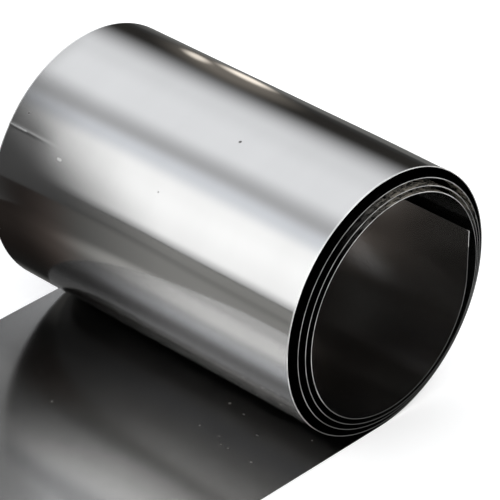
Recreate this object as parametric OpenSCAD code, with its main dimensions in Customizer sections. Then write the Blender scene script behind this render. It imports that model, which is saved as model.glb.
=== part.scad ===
// Thin stainless shim sheet, loosely rolled, resting on its own flat tail.
// Units are millimetres. The roll lies along Y, the flat tail runs out to -X
// and its underside is at Z = 0.

/* [Sheet] */
// Width of the sheet, across the roll
sheet_w = 100; // [50:5:300]
// Length of the sheet when it is unrolled
sheet_l = 1000; // [950:10:1500]
// Thickness of the sheet
sheet_t = 0.2; // [0.1:0.05:0.3]

/* [Roll] */
// Radius where the sheet leaves the tail, from the floor up to the right side
first_r = 35.6; // [34:0.1:40]
// Clear gap between turns at the bottom and the right side, where they lie close
low_gap = 0.4; // [0.3:0.05:0.6]
// Clear gap at the top and the left side between the first and second turn
gap_one = 3.3; // [2.6:0.1:3.6]
// Clear gap at the top and the left side between the second and third turn
gap_two = 2.3; // [1.6:0.1:2.6]
// Clear gap at the top and the left side between the third and fourth turn
gap_three = 1.6; // [1:0.1:1.9]

/* [Free inner end] */
// Clear gap under the free inner end at the bottom of the bore
end_lift = 1; // [0.6:0.1:1.6]
// Clear gap between the free inner end and the turn outside it, at the right side
end_gap = 3; // [2:0.1:4]
// Height of the straight lip that finishes the free inner end
lip_h = 12; // [4:0.5:16]

/* [Hidden] */
facets = 180;
quarter = 90;
steel = [0.75, 0.76, 0.78];
// The roll grows from its lowest point, so the first quarter turn starts there
first_angle = -quarter;
rounding = 1000;
low_pitch = low_gap + sheet_t;
high_pitch = [gap_one + sheet_t, gap_two + sheet_t, gap_three + sheet_t];
// Radius steps that give a wide spacing at the top and left and a narrow one
// at the bottom and right, for each turn
open_step = [for (h = high_pitch) tidy((3 * h - low_pitch) / 8)];
shut_step = [for (h = high_pitch) tidy((3 * low_pitch - h) / 8)];
end_shut = tidy((end_lift + sheet_t - open_step[2]) / 3);
end_open = tidy(end_gap + sheet_t - 3 * end_shut);
// One radius step at each quarter turn, from the outside inwards
first_turn = [open_step[0], shut_step[0], shut_step[0], open_step[0]];
second_turn = [open_step[0], shut_step[1], shut_step[1], open_step[1]];
third_turn = [open_step[1], shut_step[2], shut_step[2], open_step[2]];
fourth_turn = [open_step[2], end_shut, end_shut, end_open];
steps = concat(first_turn, second_turn, third_turn, fourth_turn);
quarters = len(steps) + 1;
radii = [for (k = [0:quarters - 1]) first_r - sum_to(steps, k)];
angles = [for (k = [0:quarters - 1]) first_angle + k * quarter];
// Each centre moves along the shared end plane, so the arcs meet tangentially
shifts = [for (k = [0:len(steps) - 1]) steps[k] * compass(k + 1)];
centres = [for (k = [0:quarters - 1]) [0, first_r] + vector_to(shifts, k)];
// The middle of the sheet's thickness keeps its length when it is rolled
wound_l = quarter * PI / 180 * (sum_to(radii, quarters) - quarters * sheet_t / 2);
tail_l = tidy(sheet_l - wound_l - lip_h);
last = quarters - 1;
lip_outer_x = centres[last][0] + radii[last];
right_x = centres[0][0] + radii[0];
shift_x = tidy((tail_l - right_x) / 2);

// Rounds a length to a thousandth, so that touching faces share exact planes
function tidy(v) = round(v * rounding) / rounding;

// Adds up the first n numbers of a list
function sum_to(list, n) = n <= 0 ? 0 : list[n - 1] + sum_to(list, n - 1);

// Adds up the first n vectors of a list
function vector_to(list, n) = n <= 0 ? [0, 0] : list[n - 1] + vector_to(list, n - 1);

// Unit vector at the start of quarter turn k, counted from the lowest point
function compass(k) = [[0, -1], [1, 0], [0, 1], [-1, 0]][k % 4];

// One quarter turn of the sheet, as a true cylindrical arc
module quarter_turn(k) {
    translate([centres[k][0], centres[k][1], 0])
        rotate_extrude(angle = quarter, start = angles[k], $fn = facets)
            translate([radii[k] - sheet_t, 0])
                square([sheet_t, sheet_w]);
}

// The flat tail, which ends under the roll at its lowest point
module tail() {
    translate([-tail_l, 0, 0])
        cube([tail_l, sheet_t, sheet_w]);
}

// The short straight lip at the free inner end
module lip() {
    translate([lip_outer_x - sheet_t, centres[last][1], 0])
        cube([sheet_t, lip_h, sheet_w]);
}

// The whole sheet: flat tail, quarter turns and inner lip in one piece
module shim_sheet() {
    color(steel)
        translate([shift_x, sheet_w / 2, 0])
            rotate([90, 0, 0])
                union() {
                    tail();
                    for (k = [0:last])
                        quarter_turn(k);
                    lip();
                }
}

shim_sheet();
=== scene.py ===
import math

import bpy
import numpy as np
from mathutils import Matrix, Vector


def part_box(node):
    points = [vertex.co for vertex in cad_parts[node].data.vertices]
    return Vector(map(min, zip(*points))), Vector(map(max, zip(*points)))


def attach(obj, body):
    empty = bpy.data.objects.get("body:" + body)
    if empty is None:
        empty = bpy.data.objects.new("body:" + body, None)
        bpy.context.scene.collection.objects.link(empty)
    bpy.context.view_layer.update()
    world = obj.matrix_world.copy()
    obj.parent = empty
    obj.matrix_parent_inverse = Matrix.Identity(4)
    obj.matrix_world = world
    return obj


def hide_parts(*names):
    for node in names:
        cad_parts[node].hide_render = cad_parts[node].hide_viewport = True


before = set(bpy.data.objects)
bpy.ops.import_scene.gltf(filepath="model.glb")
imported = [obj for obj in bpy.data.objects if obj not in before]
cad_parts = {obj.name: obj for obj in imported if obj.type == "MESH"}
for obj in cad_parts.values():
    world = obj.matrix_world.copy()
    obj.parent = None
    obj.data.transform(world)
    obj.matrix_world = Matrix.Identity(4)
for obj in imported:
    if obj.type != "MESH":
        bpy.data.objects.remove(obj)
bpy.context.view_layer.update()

# The look of a thin stainless shim sheet, loosely rolled on its own flat tail.
# Lengths are metres. The roll lies along Y with its front end at -Y, and the flat tail runs out to -X.

LOW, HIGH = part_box("shim_sheet")
FLOOR_Z = LOW[2]
MM = 0.001
QUARTER = math.pi / 2
# Faces that meet at more than this have a sharp edge between them
SHARP_ANGLE = math.radians(40)

# Sizes of the roll, the same as the solid's
SHEET_T = 0.2 * MM
FIRST_R = 35.6 * MM
# Clear gaps between the turns: at the bottom and the right, and at the top and the left from the outside in
LOW_GAP = 0.4 * MM
HIGH_GAPS = (3.3 * MM, 2.3 * MM, 1.6 * MM)
# The free inner end: the gap under it, the gap at its right side, and the height of its straight lip
END_LIFT = 1.0 * MM
END_GAP = 3.0 * MM
LIP_H = 12.0 * MM
# The roll's first quarter turn ends at the far right of the box, one radius from the contact line
CONTACT_X = HIGH[0] - FIRST_R
TAIL_L = CONTACT_X - LOW[0]

# How finely the sheet is drawn: the outer turn's four quarters, each quarter further in, the tail, the lip,
# the stretch round the crease, and across the width
OUTER_STEPS = (24, 64, 96, 64)
INNER_STEPS = 22
TAIL_STEPS = 60
LIP_STEPS = 6
CREASE_STEPS = 24
ACROSS_STEPS = 70

# Places on the sheet are (along, across) in mm: along from the tail's free end, across from the middle,
# minus towards the front end of the roll.
# The outer turn leaves the floor at the first of these and is nearly back at the contact at the second
OUTER_TURN = (144.4, 361.0)
# The whole length, which the colour ramps span
SHEET_SPAN = 1000.0
# Long low waves of the sheet: (height, length along, length across, phase)
WAVES = ((0.030, 31.0, 170.0, 0.4), (0.022, 19.0, -95.0, 2.1), (0.016, 47.0, 41.0, 4.0))
# There are no waves within this many mm of the contact
CALM = 5
# On the roll they are full from this far past the contact, and fade over the last of the outer turn
ROLL_RISE = 40
ROLL_FADE = 30
# On the tail they are full up to this far from the contact, and this share as high
TAIL_FADE = 30
TAIL_SHARE = 0.5
# A small crease runs in from the rear rim: its place along, height, half widths of its ridge and of the
# dip that the ridge stands in, where it starts and is full, and how far round it the mesh is finer
CREASE = {
    "along": 287.2, "height": 0.10, "half": 0.42, "dip": 3.5, "start": 33.0, "full": 47.0, "fine": 1.6}


def ease(x, start, end):
    """0 before start, 1 after end, and the smooth step 3 t^2 - 2 t^3 between them."""
    t = np.clip((x - start) / (end - start), 0.0, 1.0)
    return t * t * (3 - 2 * t)


def quarter_radii():
    """Outer radius of each quarter turn, from the floor inwards.

    A wide spacing at the top and left with a narrow one at the bottom and right comes from
    two radius steps: (3 * wide - narrow) / 8 at the right and the bottom, and
    (3 * narrow - wide) / 8 at the top and the left. The last turn opens the free end's two
    gaps: (lift - the step before) / 3 at the top and the left, and the end's spacing less three
    of those at the bottom.
    """
    narrow = LOW_GAP + SHEET_T
    wide = [gap + SHEET_T for gap in HIGH_GAPS]
    opens = [(3 * w - narrow) / 8 for w in wide]
    shuts = [(3 * narrow - w) / 8 for w in wide]
    end_shut = (END_LIFT + SHEET_T - opens[-1]) / 3
    end_open = END_GAP + SHEET_T - 3 * end_shut
    steps = []
    before = opens[0]
    for opened, shut in zip(opens, shuts):
        steps += [before, shut, shut, opened]
        before = opened
    steps += [before, end_shut, end_shut, end_open]
    return FIRST_R - np.concatenate([[0.0], np.cumsum(steps)])


def path_rows(along, x, z, inward_x, inward_z):
    """Rows of a stretch of the sheet's line. A single value counts for every row."""
    return np.stack(np.broadcast_arrays(along, x, z, inward_x, inward_z), 1)


def sheet_path():
    """The outer face's line in the XZ plane, seen from the front end of the roll.

    Rows are (distance along the sheet, x, z, inward x, inward z). The tail is a straight line to
    the contact, each quarter turn is centre + radius * (cos a, sin a) with a growing by a quarter
    turn, from the bottom on, and the lip is a straight line up. Each centre moves along the end
    plane of the arc before it, by the difference of the two radii, so the arcs meet without a
    corner. The rows are closer together round the crease.
    """
    radii = quarter_radii()
    run = TAIL_L * np.linspace(0.0, 1.0, TAIL_STEPS + 1)[:-1]
    rows = [path_rows(run, LOW[0] + run, FLOOR_Z, 0.0, 1.0)]
    length = TAIL_L
    centre = np.array([CONTACT_X, FLOOR_Z + radii[0]])
    fine = np.linspace(-1, 1, CREASE_STEPS) * CREASE["fine"] * MM
    for k, radius in enumerate(radii):
        start = (k - 1) * QUARTER
        steps = OUTER_STEPS[k] if k < len(OUTER_STEPS) else INNER_STEPS
        turn = np.linspace(0.0, QUARTER, steps + 1)[:-1]
        near = (CREASE["along"] * MM - length + fine) / radius
        if near[0] > 0 and near[-1] < QUARTER:
            turn = np.concatenate([turn[turn < near[0]], near, turn[turn > near[-1]]])
        c, s = np.cos(start + turn), np.sin(start + turn)
        x, z = centre[0] + radius * c, centre[1] + radius * s
        rows.append(path_rows(length + radius * turn, x, z, -c, -s))
        length += radius * QUARTER
        if k + 1 < len(radii):
            end = start + QUARTER
            centre = centre + (radius - radii[k + 1]) * np.array([math.cos(end), math.sin(end)])
    rise = LIP_H * np.linspace(0.0, 1.0, LIP_STEPS + 1)
    rows.append(path_rows(length + rise, centre[0] + radii[-1], centre[1] + rise, -1.0, 0.0))
    return np.concatenate(rows)


def sway(along, across):
    """How far the sheet strays inwards (or up, on the tail) from its ideal shape, in mm.

    Each wave is height * (1 + sin(turns along + turns across + phase)) / 2. Waves are full on the
    outer turn, half as high on the tail, and nothing at the contact and further in. The crease is
    height * (exp(-(off / dip)^2) - exp(-(off / half)^2)), where off is the distance from its place,
    easing in towards the rear rim.
    """
    waves = 0.0
    for height, long_way, wide_way, phase in WAVES:
        waves = waves + height * (1 + np.sin(math.tau * (along / long_way + across / wide_way) + phase)) / 2
    start, end = OUTER_TURN
    on_turn = ease(along, start + CALM, start + ROLL_RISE) * (1 - ease(along, end - ROLL_FADE, end))
    on_tail = TAIL_SHARE * (1 - ease(along, start - TAIL_FADE, start - CALM))
    off = along - CREASE["along"]
    crease = np.exp(-(off / CREASE["dip"]) ** 2) - np.exp(-(off / CREASE["half"]) ** 2)
    crease = CREASE["height"] * crease * ease(across, CREASE["start"], CREASE["full"])
    return waves * (on_turn + on_tail) + crease


def new_piece(name, points, faces, slots, material_index):
    """A mesh object at the origin from point and face arrays, shaded smooth with sharp corners."""
    mesh = bpy.data.meshes.new(name)
    mesh.from_pydata(points.tolist(), [], faces.tolist())
    for material in slots:
        mesh.materials.append(material)
    mesh.polygons.foreach_set("material_index", material_index)
    mesh.shade_smooth()
    mesh.set_sharp_from_angle(angle=SHARP_ANGLE)
    piece = bpy.data.objects.new(name, mesh)
    bpy.context.scene.collection.objects.link(piece)
    return piece


def facing(quads, flipped):
    """The quads as they are, or facing the other way."""
    return quads[:, ::-1] if flipped else quads


def grid_faces(first, rows, columns, flipped):
    """Quads of a grid whose points are numbered row by row from first."""
    r, c = np.meshgrid(np.arange(rows - 1), np.arange(columns - 1), indexing="ij")
    corner = (first + r * columns + c).ravel()
    return facing(np.stack([corner, corner + 1, corner + columns + 1, corner + columns], 1), flipped)


def build_sheet(slots):
    """The rolled sheet: its outer face, its inner face and the cut edges all round.

    A point is the path's point at distance s, pushed inwards by the sway and by 0 or one thickness,
    at a place y across the width. Its UV place is (along, across) in mm.
    """
    path = sheet_path()
    across = np.linspace(LOW[1], HIGH[1], ACROSS_STEPS + 1)
    rows, columns = len(path), len(across)
    count = rows * columns
    s, x, z, ix, iz = (path[:, i][:, None] for i in range(5))
    y = across[None, :] + 0 * s
    stray = sway(s / MM, y / MM) * MM
    depths = [stray + depth for depth in (0.0, SHEET_T)]
    sides = [np.stack([x + ix * depth, y, z + iz * depth], 2) for depth in depths]
    points = np.concatenate([side.reshape(-1, 3) for side in sides])
    outer = grid_faces(0, rows, columns, True)
    inner = grid_faces(count, rows, columns, False)
    front = np.arange(rows) * columns
    back = front + columns - 1
    first = np.arange(columns)
    last = first + (rows - 1) * columns
    edges = []
    for line, flipped in ((front, True), (back, False), (first, False), (last, True)):
        quads = np.stack([line[:-1], line[1:], line[1:] + count, line[:-1] + count], 1)
        edges.append(facing(quads, flipped))
    edges = np.concatenate(edges)
    faces = np.concatenate([outer, inner, edges])
    index = np.repeat([0, 1, 2], [len(outer), len(inner), len(edges)])
    piece = new_piece("rolled_sheet", points, faces, slots, index)
    places = np.stack([s + 0 * y, y], 2).reshape(-1, 2) / MM
    corners = np.empty(len(piece.data.loops), int)
    piece.data.loops.foreach_get("vertex_index", corners)
    uv = piece.data.uv_layers.new(name="sheet")
    uv.data.foreach_set("uv", places[corners % count].ravel())
    return piece


class Socket:
    """A node output whose arithmetic adds Math nodes."""

    def __init__(self, graph, output):
        self.graph, self.output = graph, output

    def maths(self, operation, a, b=0.0):
        return self.graph.node("ShaderNodeMath", {"operation": operation}, {0: a, 1: b})

    def __add__(self, other):
        return self.maths("ADD", self, other)

    __radd__ = __add__

    def __sub__(self, other):
        return self.maths("SUBTRACT", self, other)

    def __rsub__(self, other):
        return self.maths("SUBTRACT", other, self)

    def __mul__(self, other):
        return self.maths("MULTIPLY", self, other)

    __rmul__ = __mul__

    def __truediv__(self, other):
        return self.maths("DIVIDE", self, other)

    def __rtruediv__(self, other):
        return self.maths("DIVIDE", other, self)

    def __pow__(self, other):
        return self.maths("POWER", self, other)

    def __abs__(self):
        return self.maths("ABSOLUTE", self)

    def greatest(self, other):
        return self.maths("MAXIMUM", self, other)


# A Mix node's own numbers for its colour sockets, and the part of a mark's radius that is full
MIX_SHARE, MIX_A, MIX_B, MIX_RESULT = 0, 6, 7, 2
MARK_CORE = 0.4


class Graph:
    """The node tree of a material or the world, emptied and built again."""

    def __init__(self, owner):
        owner.use_nodes = True
        self.tree = owner.node_tree
        self.tree.nodes.clear()

    def node(self, kind, settings, inputs, output=0):
        """A node of one kind with its settings, then the values or links of its inputs.

        It gives the output asked for, or nothing where the node has none.
        """
        made = self.tree.nodes.new(kind)
        for name, value in settings.items():
            if name == "stops":
                self.set_stops(made.color_ramp, value)
            else:
                setattr(made, name, value)
        for key, value in inputs.items():
            if isinstance(value, Socket):
                self.tree.links.new(value.output, made.inputs[key])
            else:
                made.inputs[key].default_value = value
        return Socket(self, made.outputs[output]) if made.outputs else None

    @staticmethod
    def set_stops(ramp, stops):
        """A smooth ramp through (place, colour) stops. A new ramp has its two end stops already."""
        ramp.interpolation = "EASE"
        for place, colour in stops[1:-1]:
            ramp.elements.new(place).color = (*colour, 1.0)
        for element, (place, colour) in ((ramp.elements[0], stops[0]), (ramp.elements[-1], stops[-1])):
            element.position = place
            element.color = (*colour, 1.0)

    def parts(self, vector):
        """The x, y and z of a vector."""
        split = self.node("ShaderNodeSeparateXYZ", {}, {0: vector}).output.node
        return [Socket(self, output) for output in split.outputs]

    def eased(self, value, start, end, low=0.0, high=1.0):
        """low before start, high after end, and a smooth step between them."""
        settings = {"interpolation_type": "SMOOTHSTEP"}
        return self.node("ShaderNodeMapRange", settings, {0: value, 1: start, 2: end, 3: low, 4: high})

    def noise(self, vector, stretch, detail):
        """Noise from 0 to 1 whose cells are 1 / stretch long each way."""
        scaled = self.node("ShaderNodeVectorMath", {"operation": "MULTIPLY"}, {0: vector, 1: stretch})
        return self.node("ShaderNodeTexNoise", {}, {"Vector": scaled, "Scale": 1.0, "Detail": detail})

    def blend(self, share, a, b):
        """Colour a where share is 0 and colour b where it is 1."""
        inputs = {MIX_SHARE: share, MIX_A: a, MIX_B: b}
        return self.node("ShaderNodeMix", {"data_type": "RGBA"}, inputs, MIX_RESULT)

    def dashes(self, along, across, places):
        """Marks at (along, across, half length, radius, strength) in mm.

        Each has its strength on a short line across the sheet and out to MARK_CORE of its radius
        from it, and falls to 0 at the radius.
        """
        total = None
        for place_along, place_across, half, radius, strength in places:
            beside = (abs(across - place_across) - half).greatest(0.0)
            away = ((along - place_along) ** 2 + beside ** 2) ** 0.5
            dash = self.eased(away, radius * MARK_CORE, radius, strength, 0.0)
            total = dash if total is None else total.greatest(dash)
        return total


# How strongly the steel reflects, as (place along in mm, level); its changes along the sheet are painted
# light and shade.
# The outer face has a narrow painted highlight line at the roll's far left and a line of painted shade
# under it. The inner face is the tail's top first, in painted shade near the roll, and the bore last, whose
# levels are painted light and shade too.
OUTER_LEVELS_AND_PAINTED_LIGHT = (
    (150, 0.55), (304, 0.63), (308, 0.94), (311.5, 0.94), (316.5, 0.63), (320, 0.50), (324, 0.50),
    (330, 0.58), (345, 0.55))
INNER_LEVELS_AND_PAINTED_LIGHT = (
    (0, 0.24), (30, 0.30), (58, 0.42), (76, 0.38), (84, 0.33), (96, 0.40), (106, 0.27), (500, 0.27),
    (700, 0.45), (785, 0.45), (830, 0.65), (935, 0.65), (948, 0.30), (966, 0.25), (975, 0.33),
    (984, 0.50), (992, 0.68))
STEEL_TINT = (1.0, 0.992, 0.978)
OUTER_ROUGH = 0.07
INNER_ROUGH = 0.13

# A noise is (cells to a mm each way, detail), and a range is the start and end of a smooth step, with its
# low and high levels where they aren't 0 and 1. WORN_ROUGH and its like are added to a face's roughness.

# Fine grain lines that run along the sheet, with the height of their bump
GRAIN = ((0.03, 4.0, 1.0), 2.0)
GRAIN_BUMP = 0.0012 * MM
# A slow mottle that mixes in a little grey
MOTTLE = ((0.03, 0.09, 1.0), 3.0)
MOTTLE_GREY = (0.2, 0.2, 0.2, 1)
MOTTLE_SHARE = 0.10
MOTTLE_ROUGH = 0.05
# Worn patches of the front end, and how much less metallic they are
WORN = (0.50, 0.46, 0.39, 1)
PATCHES = ((0.5, 1.1, 1.0), 3.0)
PATCH_STEP = (0.38, 0.60)
WORN_ROUGH = 0.3
WORN_METAL = 0.6
# Where the wear is: from and to these places along each face, fading over this at both ends, and the ranges
# of x, of z and of the place across
OUTER_DULL = (575, 990)
INNER_DULL = (400, 785)
WORN_FADE = 20
WORN_X = (CONTACT_X - 16 * MM, CONTACT_X + 8 * MM)
WORN_Z = (40 * MM, 50 * MM)
WORN_ACROSS = (-46.5, -44.5, 1.0, 0.0)
# The painted highlight along both rims, by the distance from the middle, and how it fades past the outer
# turn
BRIGHT = (0.95, 0.95, 0.93, 1)
RIM = (49.5, 49.9, 0.0, 0.8)
RIM_FADE = 30
BRIGHT_ROUGH = 0.3

# Marks are (along, across, half length, radius, strength): dark specks on the outer face, light scratches
# there by the rear rim, the one along the crease also a painted highlight, and dust on the tail
SPECK = (0.02, 0.018, 0.016)
DUST = (0.30, 0.28, 0.25)
MARK_ROUGH = 0.5
SPECKS = ((265.3, -11.9, 0, 0.55, 0.85), (282.9, 45.7, 0, 0.36, 1), (285.6, -0.8, 0, 0.28, 0.5))
SCRATCHES_AND_CREASE_HIGHLIGHT = ((287.2, 47.0, 3.0, 0.35, 0.35), (289.6, 30.9, 0.4, 0.5, 0.45), (329.7, 35.0, 3.0, 0.4, 0.4))
DUST_GRAINS = (
    (126.0, -17.4, 0, 0.50, 0.7), (125.0, -23.1, 0.2, 0.35, 0.3), (112.5, 7.5, 0, 0.35, 0.12),
    (124.2, 18.8, 0, 0.45, 0.12), (115.7, 16.0, 0, 0.30, 0.12), (103.3, 25.6, 0, 0.30, 0.12),
    (96.2, 14.2, 0, 0.35, 0.3), (114.2, -18.7, 0, 0.40, 0.3), (114.2, -25.2, 0.2, 0.42, 0.25),
    (112.1, -27.9, 0, 0.35, 0.35), (112.1, -30.2, 0, 0.40, 0.3), (111.9, -38.1, 0, 0.45, 0.5),
    (120.9, -31.5, 0.2, 0.40, 0.3), (128.6, -42.4, 0, 0.32, 0.3), (115.3, -14.3, 0.2, 0.30, 0.12))


def worn_front(g, sheet, along, across, dull):
    """1 in the dull patches of a strip along the front end, and 0 elsewhere.

    They are smooth steps of a noise, times smooth steps that keep them within a range of places
    along the sheet, near its front edge, and at the roll's upper right.
    """
    x, _, z = g.parts(g.node("ShaderNodeTexCoord", {}, {}, "Object"))
    patches = g.eased(g.noise(sheet, *PATCHES), *PATCH_STEP)
    patches = patches * g.eased(x, *WORN_X) * g.eased(z, *WORN_Z)
    start, end = dull
    within = g.eased(along, start, start + WORN_FADE) * g.eased(along, end - WORN_FADE, end, 1.0, 0.0)
    return within * patches * g.eased(across, *WORN_ACROSS)


def steel_face(name, levels, softness, marks, mark_colour, dull, scratches):
    """Rolled steel: a mirror softened by fine grain lines that run along the sheet.

    The grain is noise with cells 0.25 mm across and about 30 mm along. A slow mottle changes the
    colour and the roughness a little, and the front end is worn in patches. The face that has
    scratches, one along the crease also a painted highlight, is the one outside, and it also has a
    painted highlight in the last half millimetre at each end of the roll, up to the end of the outer turn.
    """
    material = bpy.data.materials.new(name)
    g = Graph(material)
    sheet = g.node("ShaderNodeUVMap", {"uv_map": "sheet"}, {})
    along, across, _ = g.parts(sheet)
    grain = g.noise(sheet, *GRAIN)
    mottle = g.noise(sheet, *MOTTLE)
    # The level ramp along the sheet carries painted light and shade
    stops = [(place / SHEET_SPAN, tuple(level * part for part in STEEL_TINT)) for place, level in levels]
    steel = g.node("ShaderNodeValToRGB", {"stops": stops}, {0: along / SHEET_SPAN})
    steel = g.blend(mottle * MOTTLE_SHARE, steel, MOTTLE_GREY)
    worn = worn_front(g, sheet, along, across, dull)
    steel = g.blend(worn, steel, WORN)
    roughness = softness + mottle * MOTTLE_ROUGH + worn * WORN_ROUGH
    metal = 1.0 - worn * WORN_METAL
    if scratches:
        # Painted highlight along the rims, joined with the scratches, one of which is also a painted
        # highlight on the crease
        rim_end = OUTER_TURN[1]
        rim = g.eased(abs(across), *RIM) * g.eased(along, rim_end, rim_end + RIM_FADE, 1.0, 0.0)
        bright = rim.greatest(g.dashes(along, across, scratches))
        steel = g.blend(bright, steel, BRIGHT)
        roughness = roughness + bright * BRIGHT_ROUGH
    dots = g.dashes(along, across, marks)
    steel = g.blend(dots, steel, (*mark_colour, 1))
    roughness = roughness + dots * MARK_ROUGH
    bump = g.node("ShaderNodeBump", {}, {"Height": grain, "Distance": GRAIN_BUMP, "Strength": 1.0})
    shader = g.node("ShaderNodeBsdfPrincipled", {}, {
        "Base Color": steel, "Metallic": metal - dots, "Roughness": roughness, "Normal": bump})
    g.node("ShaderNodeOutputMaterial", {}, {"Surface": shader})
    return material


# The cut edge: a noise that mixes torn stretches with sheared ones, how rough the torn ones are and how
# much smoother the others, and the colour where close turns shade it
SHEAR = ((0.25, 0.25, 1.0), 3.0)
SHEAR_STEP = (0.35, 0.65)
TORN = (0.50, 0.50, 0.49, 1)
TORN_ROUGH = 0.45
SHEARED = (1.0, 1.0, 0.98, 1)
SHEARED_SMOOTH = 0.15
SHADED = (0.03, 0.03, 0.028, 1)
EDGE_METAL = 0.4
# How bright it is by the place along, as painted light and shade: full on the outer turn and painted shade
# past it, with a little painted light on the innermost turn, and painted shade by this on the lip
EDGE_OUTER = (330.0, 400.0, 1.0, 0.45)
EDGE_INNERMOST = (760.0, 800.0, 0.0, 0.2)
EDGE_LIP = (985.0, 989.0, 0.0, 0.35)
# It also has painted shade past a slanting line at the right, and near the floor
EDGE_SLANT = 0.6
EDGE_RIGHT = (4 * MM, 26 * MM, 1.0, 0.2)
EDGE_Z = (9 * MM, 27 * MM, 0.05, 1.0)
# A painted highlight on the lip's front corner
CORNER_ALONG = (997.8, 998.8)
CORNER_ACROSS = (-49.6, -49.0, 1.0, 0.0)


def cut_edge():
    """The sheared edge: brighter and duller stretches a few millimetres long.

    Painted shade darkens it on the inner turns, near the floor and at the right, where the turns lie
    close together, and a painted highlight brightens the lip's front corner.
    """
    material = bpy.data.materials.new("cut_edge")
    g = Graph(material)
    sheet = g.node("ShaderNodeUVMap", {"uv_map": "sheet"}, {})
    along, across, _ = g.parts(sheet)
    x, _, z = g.parts(g.node("ShaderNodeTexCoord", {}, {}, "Object"))
    shear = g.eased(g.noise(sheet, *SHEAR), *SHEAR_STEP)
    aside = x - CONTACT_X - (z - FIRST_R) * EDGE_SLANT
    # Painted light and shade of the edge: darker where close turns shade it, lit at the lip's corner
    bright = g.eased(along, *EDGE_OUTER) + g.eased(along, *EDGE_INNERMOST)
    bright = bright - g.eased(along, *EDGE_LIP)
    bright = bright * g.eased(aside, *EDGE_RIGHT) * g.eased(z, *EDGE_Z)
    corner = g.eased(along, *CORNER_ALONG) * g.eased(across, *CORNER_ACROSS)
    bright = bright.greatest(corner)
    steel = g.blend(shear, TORN, SHEARED)
    steel = g.blend(bright, SHADED, steel)
    shader = g.node("ShaderNodeBsdfPrincipled", {}, {
        "Base Color": steel, "Metallic": EDGE_METAL, "Roughness": TORN_ROUGH - shear * SHEARED_SMOOTH})
    g.node("ShaderNodeOutputMaterial", {}, {"Surface": shader})
    return material


# Camera, at the photograph's viewing angle: a long lens, high on the front left
CAMERA_AT = Vector((-459.5, -495.12, 478.9)) * MM
CAMERA_TO = Vector((71.51, 10.0, 16.32)) * MM
CAMERA_LENS = 247.09
CAMERA_SENSOR = 36
CAMERA_ROLL = math.radians(0.46)


def add_camera():
    """The camera looks from its place to its target and is turned a little about that line."""
    data = bpy.data.cameras.new("camera")
    data.lens = CAMERA_LENS
    data.sensor_width = CAMERA_SENSOR
    camera = bpy.data.objects.new("camera", data)
    look = (CAMERA_TO - CAMERA_AT).to_track_quat("-Z", "Y").to_matrix().to_4x4()
    camera.matrix_world = Matrix.Translation(CAMERA_AT) @ look @ Matrix.Rotation(CAMERA_ROLL, 4, "Z")
    bpy.context.scene.collection.objects.link(camera)
    bpy.context.scene.camera = camera


# Tints of the studio's lights, cards and floor
WHITE = (1, 1, 1, 1)
BLACK = (0, 0, 0, 1)
COOL = (0.975, 0.995, 1.03)
BLUE = (0.95, 0.99, 1.06)
PLAIN = (0.99, 1.0, 1.01)
WARM = (1.06, 1.01, 0.93)
FLOOR_TINT = (1.01, 1.01, 0.98)
BROWN = (1.2, 0.98, 0.88)
GLINT = (1.1, 1.0, 0.88)
DUSK = (1.16, 1.0, 0.90)
# The studio behind the roll: brightness by the angle round the roll, from the right (0) over the
# top (90) to the left (180), with the tint of the light there
STUDIO = (
    (12, 0.03, WARM), (52, 1.08, COOL), (74, 1.20, COOL), (90, 1.20, COOL), (110, 0.63, COOL),
    (122, 1.05, BLUE), (136, 1.52, PLAIN), (150, 1.59, PLAIN), (172, 1.46, PLAIN), (180, 0.66, PLAIN))
# About the brightest of these, which the room's colours are shares of
STUDIO_PEAK = 1.6
# The overhead light's range by how far up a direction points, and the range by how far back it points over
# which the studio takes over
OVERHEAD = (-0.1, 0.8, 0.25, 0.72)
STUDIO_BEHIND = (-0.15, 0.3)


def light_room():
    """Soft light from all round, as strong as the angle round the roll says behind the roll, and
    a plain soft overhead light in front of it. A camera sees white."""
    world = bpy.data.worlds.new("room")
    bpy.context.scene.world = world
    g = Graph(world)
    x, y, z = g.parts(g.node("ShaderNodeTexCoord", {}, {}, "Generated"))
    angle = z.maths("ARCTAN2", z, x) / math.pi
    stops = [(a / 180, tuple(level * part / STUDIO_PEAK for part in tint)) for a, level, tint in STUDIO]
    studio = g.node("ShaderNodeValToRGB", {"stops": stops}, {0: angle})
    plain = g.blend(g.eased(z, *OVERHEAD), BLACK, WHITE)
    light = g.blend(g.eased(y, *STUDIO_BEHIND), plain, studio)
    room = g.node("ShaderNodeBackground", {}, {"Color": light, "Strength": STUDIO_PEAK})
    white = g.node("ShaderNodeBackground", {}, {"Color": WHITE, "Strength": 1.0})
    seen = g.node("ShaderNodeLightPath", {}, {}, "Is Camera Ray")
    mixed = g.node("ShaderNodeMixShader", {}, {0: seen, 1: room, 2: white})
    g.node("ShaderNodeOutputWorld", {}, {"Surface": mixed})


def stage_plane(name, corners, material):
    """A flat part of the stage with these corners."""
    mesh = bpy.data.meshes.new(name)
    mesh.from_pydata(corners, [], [tuple(range(len(corners)))])
    mesh.materials.append(material)
    plane = bpy.data.objects.new(name, mesh)
    bpy.context.scene.collection.objects.link(plane)
    return plane


def level_corners(left, right, front, back, z):
    """The corners of a level rectangle that faces up."""
    return [(left, front, z), (right, front, z), (right, back, z), (left, back, z)]


FLOOR_PALE = (0.95, 0.95, 0.95, 1)
FLOOR_GLOW = 0.3


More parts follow.
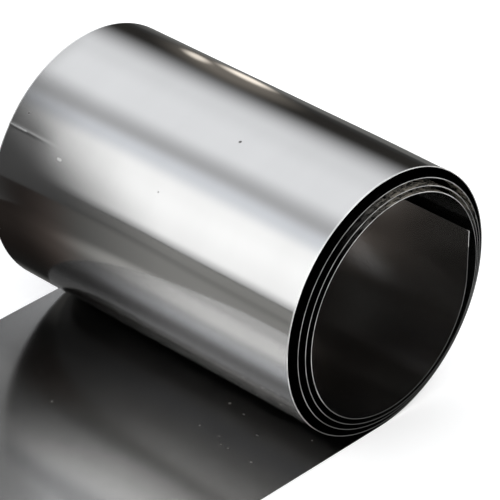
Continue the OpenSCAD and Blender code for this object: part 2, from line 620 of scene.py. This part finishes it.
def floor_material():
    """A pale floor that a camera, a mirror and glass see as white apart from the shadow on it."""
    material = bpy.data.materials.new("pale_floor")
    g = Graph(material)
    pale = g.node("ShaderNodeBsdfDiffuse", {}, {"Color": FLOOR_PALE})
    rays = ("Is Camera Ray", "Is Glossy Ray", "Is Transmission Ray")
    camera, mirror, glass = [g.node("ShaderNodeLightPath", {}, {}, ray) for ray in rays]
    glow = g.node("ShaderNodeEmission", {}, {"Color": WHITE, "Strength": FLOOR_GLOW})
    none = g.node("ShaderNodeEmission", {}, {"Strength": 0.0})
    seen = camera.greatest(mirror).greatest(glass)
    glow = g.node("ShaderNodeMixShader", {}, {0: seen, 1: none, 2: glow})
    mixed = g.node("ShaderNodeAddShader", {}, {0: pale, 1: glow})
    g.node("ShaderNodeOutputMaterial", {}, {"Surface": mixed})
    return material


# The floor as the steel mirrors it: its level
MIRRORED_FLOOR = 0.31
# How much darker it is by the distance out to the left of the contact line, in a strip well to the left, to
# the right of the contact, and far to the right
STRIP_OUT = 290 * MM
STRIP_DARK = (20 * MM, 100 * MM, 0.08, 0.0)
RIGHT_DARK = (-60 * MM, 0.0, 0.20, 0.0)
FAR_RIGHT_DARK = (-600 * MM, -200 * MM, 0.07, 0.0)
# Near the sheet a line leaves the rear end of the contact line and goes this far left for each length back.
# These ranges are distances left of it: the floor's own light, with painted shade before it beside the
# roll, and a brown tint, also by the distance out
LINE_SLOPE = 1.28
FLOOR_PAST = (23 * MM, 130 * MM)
BROWN_PAST = (38 * MM, 66 * MM, 1.0, 0.0)
BROWN_OUT = (20 * MM, 40 * MM)
# A paler patch beside the tail, and a little light by the distance out
PATCH_AT = (CONTACT_X - 86 * MM, HIGH[1], FLOOR_Z)
PATCH_LIGHT = (3 * MM, 28 * MM, 0.15, 0.0)
CONTACT_LIGHT = (12 * MM, 24 * MM, 0.17, 0.015)


def floor_card_material(name, near):
    """The floor behind and left of the sheet, as the steel mirrors it.

    It is pale grey, darker in a strip well to the left and to the right of the contact. Near the
    sheet it has painted shade beside the roll, with the boundary running away from the rear rim and
    brown just past it, a paler patch beside the tail and a little light round the contact and right
    of it. Each of these is a smooth step of a distance, added or multiplied in.
    """
    material = bpy.data.materials.new(name)
    g = Graph(material)
    place = g.node("ShaderNodeTexCoord", {}, {}, "Object")
    x, y, _ = g.parts(place)
    out = CONTACT_X - x
    tint = (*FLOOR_TINT, 1)
    level = MIRRORED_FLOOR - g.eased(abs(out - STRIP_OUT), *STRIP_DARK)
    level = level - g.eased(out, *RIGHT_DARK) - g.eased(out, *FAR_RIGHT_DARK)
    if near:
        past = out - (y - HIGH[1]) * LINE_SLOPE
        away = g.node("ShaderNodeVectorMath", {"operation": "DISTANCE"}, {0: place, 1: PATCH_AT}, "Value")
        brown = g.eased(past, *BROWN_PAST) * g.eased(out, *BROWN_OUT)
        tint = g.blend(brown, tint, (*BROWN, 1))
        # Painted shade beside the roll in the mirrored floor
        left = level * g.eased(past, *FLOOR_PAST)
        level = left + g.eased(away, *PATCH_LIGHT) + g.eased(out, *CONTACT_LIGHT)
    card = g.node("ShaderNodeEmission", {}, {"Color": tint, "Strength": level})
    g.node("ShaderNodeOutputMaterial", {}, {"Surface": card})
    return material


def set_card(name, corners, material):
    """A card that only the steel's reflections see."""
    card = stage_plane(name, corners, material)
    card.visible_camera = False
    card.visible_diffuse = False
    card.visible_shadow = False
    card.visible_transmission = False


def set_oval_card(name, tint, light, centre, radii, solid):
    """A glowing upright oval across the room, cut off at the floor.

    It is solid out to a share of its radii and fades to clear at them. light is a strength, or a
    function that works it out from x and z.
    """
    material = bpy.data.materials.new(name)
    g = Graph(material)
    if callable(light):
        x, _, z = g.parts(g.node("ShaderNodeTexCoord", {}, {}, "Object"))
        light = light(g, x, z)
    card = g.node("ShaderNodeEmission", {}, {"Color": (*tint, 1), "Strength": light})
    place = g.node("ShaderNodeTexCoord", {}, {}, "Object")
    wide, high = radii
    offset = g.node("ShaderNodeVectorMath", {"operation": "SUBTRACT"}, {0: place, 1: centre})
    share = g.node("ShaderNodeVectorMath", {"operation": "DIVIDE"}, {0: offset, 1: (wide, 1.0, high)})
    away = g.node("ShaderNodeVectorMath", {"operation": "LENGTH"}, {0: share}, "Value")
    nothing = g.node("ShaderNodeBsdfTransparent", {}, {})
    card = g.node("ShaderNodeMixShader", {}, {0: g.eased(away, solid, 1.0), 1: card, 2: nothing})
    g.node("ShaderNodeOutputMaterial", {}, {"Surface": card})
    x, y, z = centre
    low, top = max(FLOOR_Z, z - high), z + high
    left, right = x - wide, x + wide
    set_card(name, [(left, y, low), (right, y, low), (right, y, top), (left, y, top)], material)


# Light through the bore's rear opening: its ranges of z and of x, and a faint light's range of z
BORE_Z = (37 * MM, 58 * MM, 0.0, 0.25)
BORE_X = (CONTACT_X, CONTACT_X + 18 * MM, 1.0, 0.2)
BORE_FAINT = (10 * MM, 22 * MM, 0.035, 0.02)


def bore_light(g, x, z):
    """What shows through the bore's rear opening: dark, with light in its upper left part.

    The light grows with height, is less to the right, and is added to a faint one.
    """
    upper = g.eased(z, *BORE_Z) * g.eased(x, *BORE_X)
    return upper + g.eased(z, *BORE_FAINT)


# The stage reaches this far each way from the middle
STAGE_HALF = 3.0
# How far the floor and the floor cards lie under the sheet
FLOOR_DROP = 0.1 * MM
CARD_DROP = 0.05 * MM
# How far the near card goes under the sheet's rear edge, and the left card stays clear of the tail's end
CARD_TUCK = 1 * MM
# How many mm the near card goes back from the rear rim, and the front end of the left one
NEAR_DEPTH = 147
LEFT_FRONT = -0.3
# Upright oval cards: name, tint, light, centre (mm right of the contact, behind the rear rim, up), radii
# (mm wide, high), and the share of them that is solid
OVAL_CARDS = (
    ("back_card", PLAIN, 0.065, (-70, NEAR_DEPTH, -9), (250, 277), 0.66),
    ("tail_card", PLAIN, 0.08, (-62, 50, 30), (40, 110), 0.3),
    ("middle_card", PLAIN, 0.36, (-2, 30, 68), (42, 42), 0.52),
    ("bore_card", DUSK, bore_light, (1.5, 3, 34.5), (30.5, 30.5), 0.88),
    ("warm_glint", GLINT, 1.3, (112, 33.5, 50), (19, 19), 0.24),
    ("warm_spark", GLINT, 1.1, (86.5, 32, 64), (9, 14), 0.2),
    ("warm_glow", GLINT, 0.2, (112, 37, 70), (45, 45), 0.22))


def set_stage():
    """The floor that the camera sees, and the cards that stand for the room in the steel."""
    far = STAGE_HALF
    stage_plane("floor", level_corners(-far, far, -far, far, FLOOR_Z - FLOOR_DROP), floor_material())
    z = FLOOR_Z - CARD_DROP
    beside = LOW[0] - CARD_TUCK
    behind = HIGH[1] - CARD_TUCK
    back = HIGH[1] + NEAR_DEPTH * MM
    near = floor_card_material("near_floor", True)
    plain = floor_card_material("far_floor", False)
    set_card("near_floor", level_corners(-far, far, behind, back, z), near)
    set_card("far_floor", level_corners(-far, far, back, far, z), plain)
    set_card("left_floor", level_corners(-far, beside, LEFT_FRONT, behind, z), plain)
    for name, tint, light, (right, away, up), (wide, high), solid in OVAL_CARDS:
        centre = (CONTACT_X + right * MM, HIGH[1] + away * MM, up * MM)
        set_oval_card(name, tint, light, centre, (wide * MM, high * MM), solid)


add_camera()
bpy.context.scene.view_settings.view_transform = "Standard"
outer_steel = steel_face("outer_steel", OUTER_LEVELS_AND_PAINTED_LIGHT, OUTER_ROUGH, SPECKS, SPECK, OUTER_DULL, SCRATCHES_AND_CREASE_HIGHLIGHT)
inner_steel = steel_face("inner_steel", INNER_LEVELS_AND_PAINTED_LIGHT, INNER_ROUGH, DUST_GRAINS, DUST, INNER_DULL, ())
sheet = build_sheet([outer_steel, inner_steel, cut_edge()])
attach(sheet, "root")
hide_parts("shim_sheet")
light_room()
set_stage()
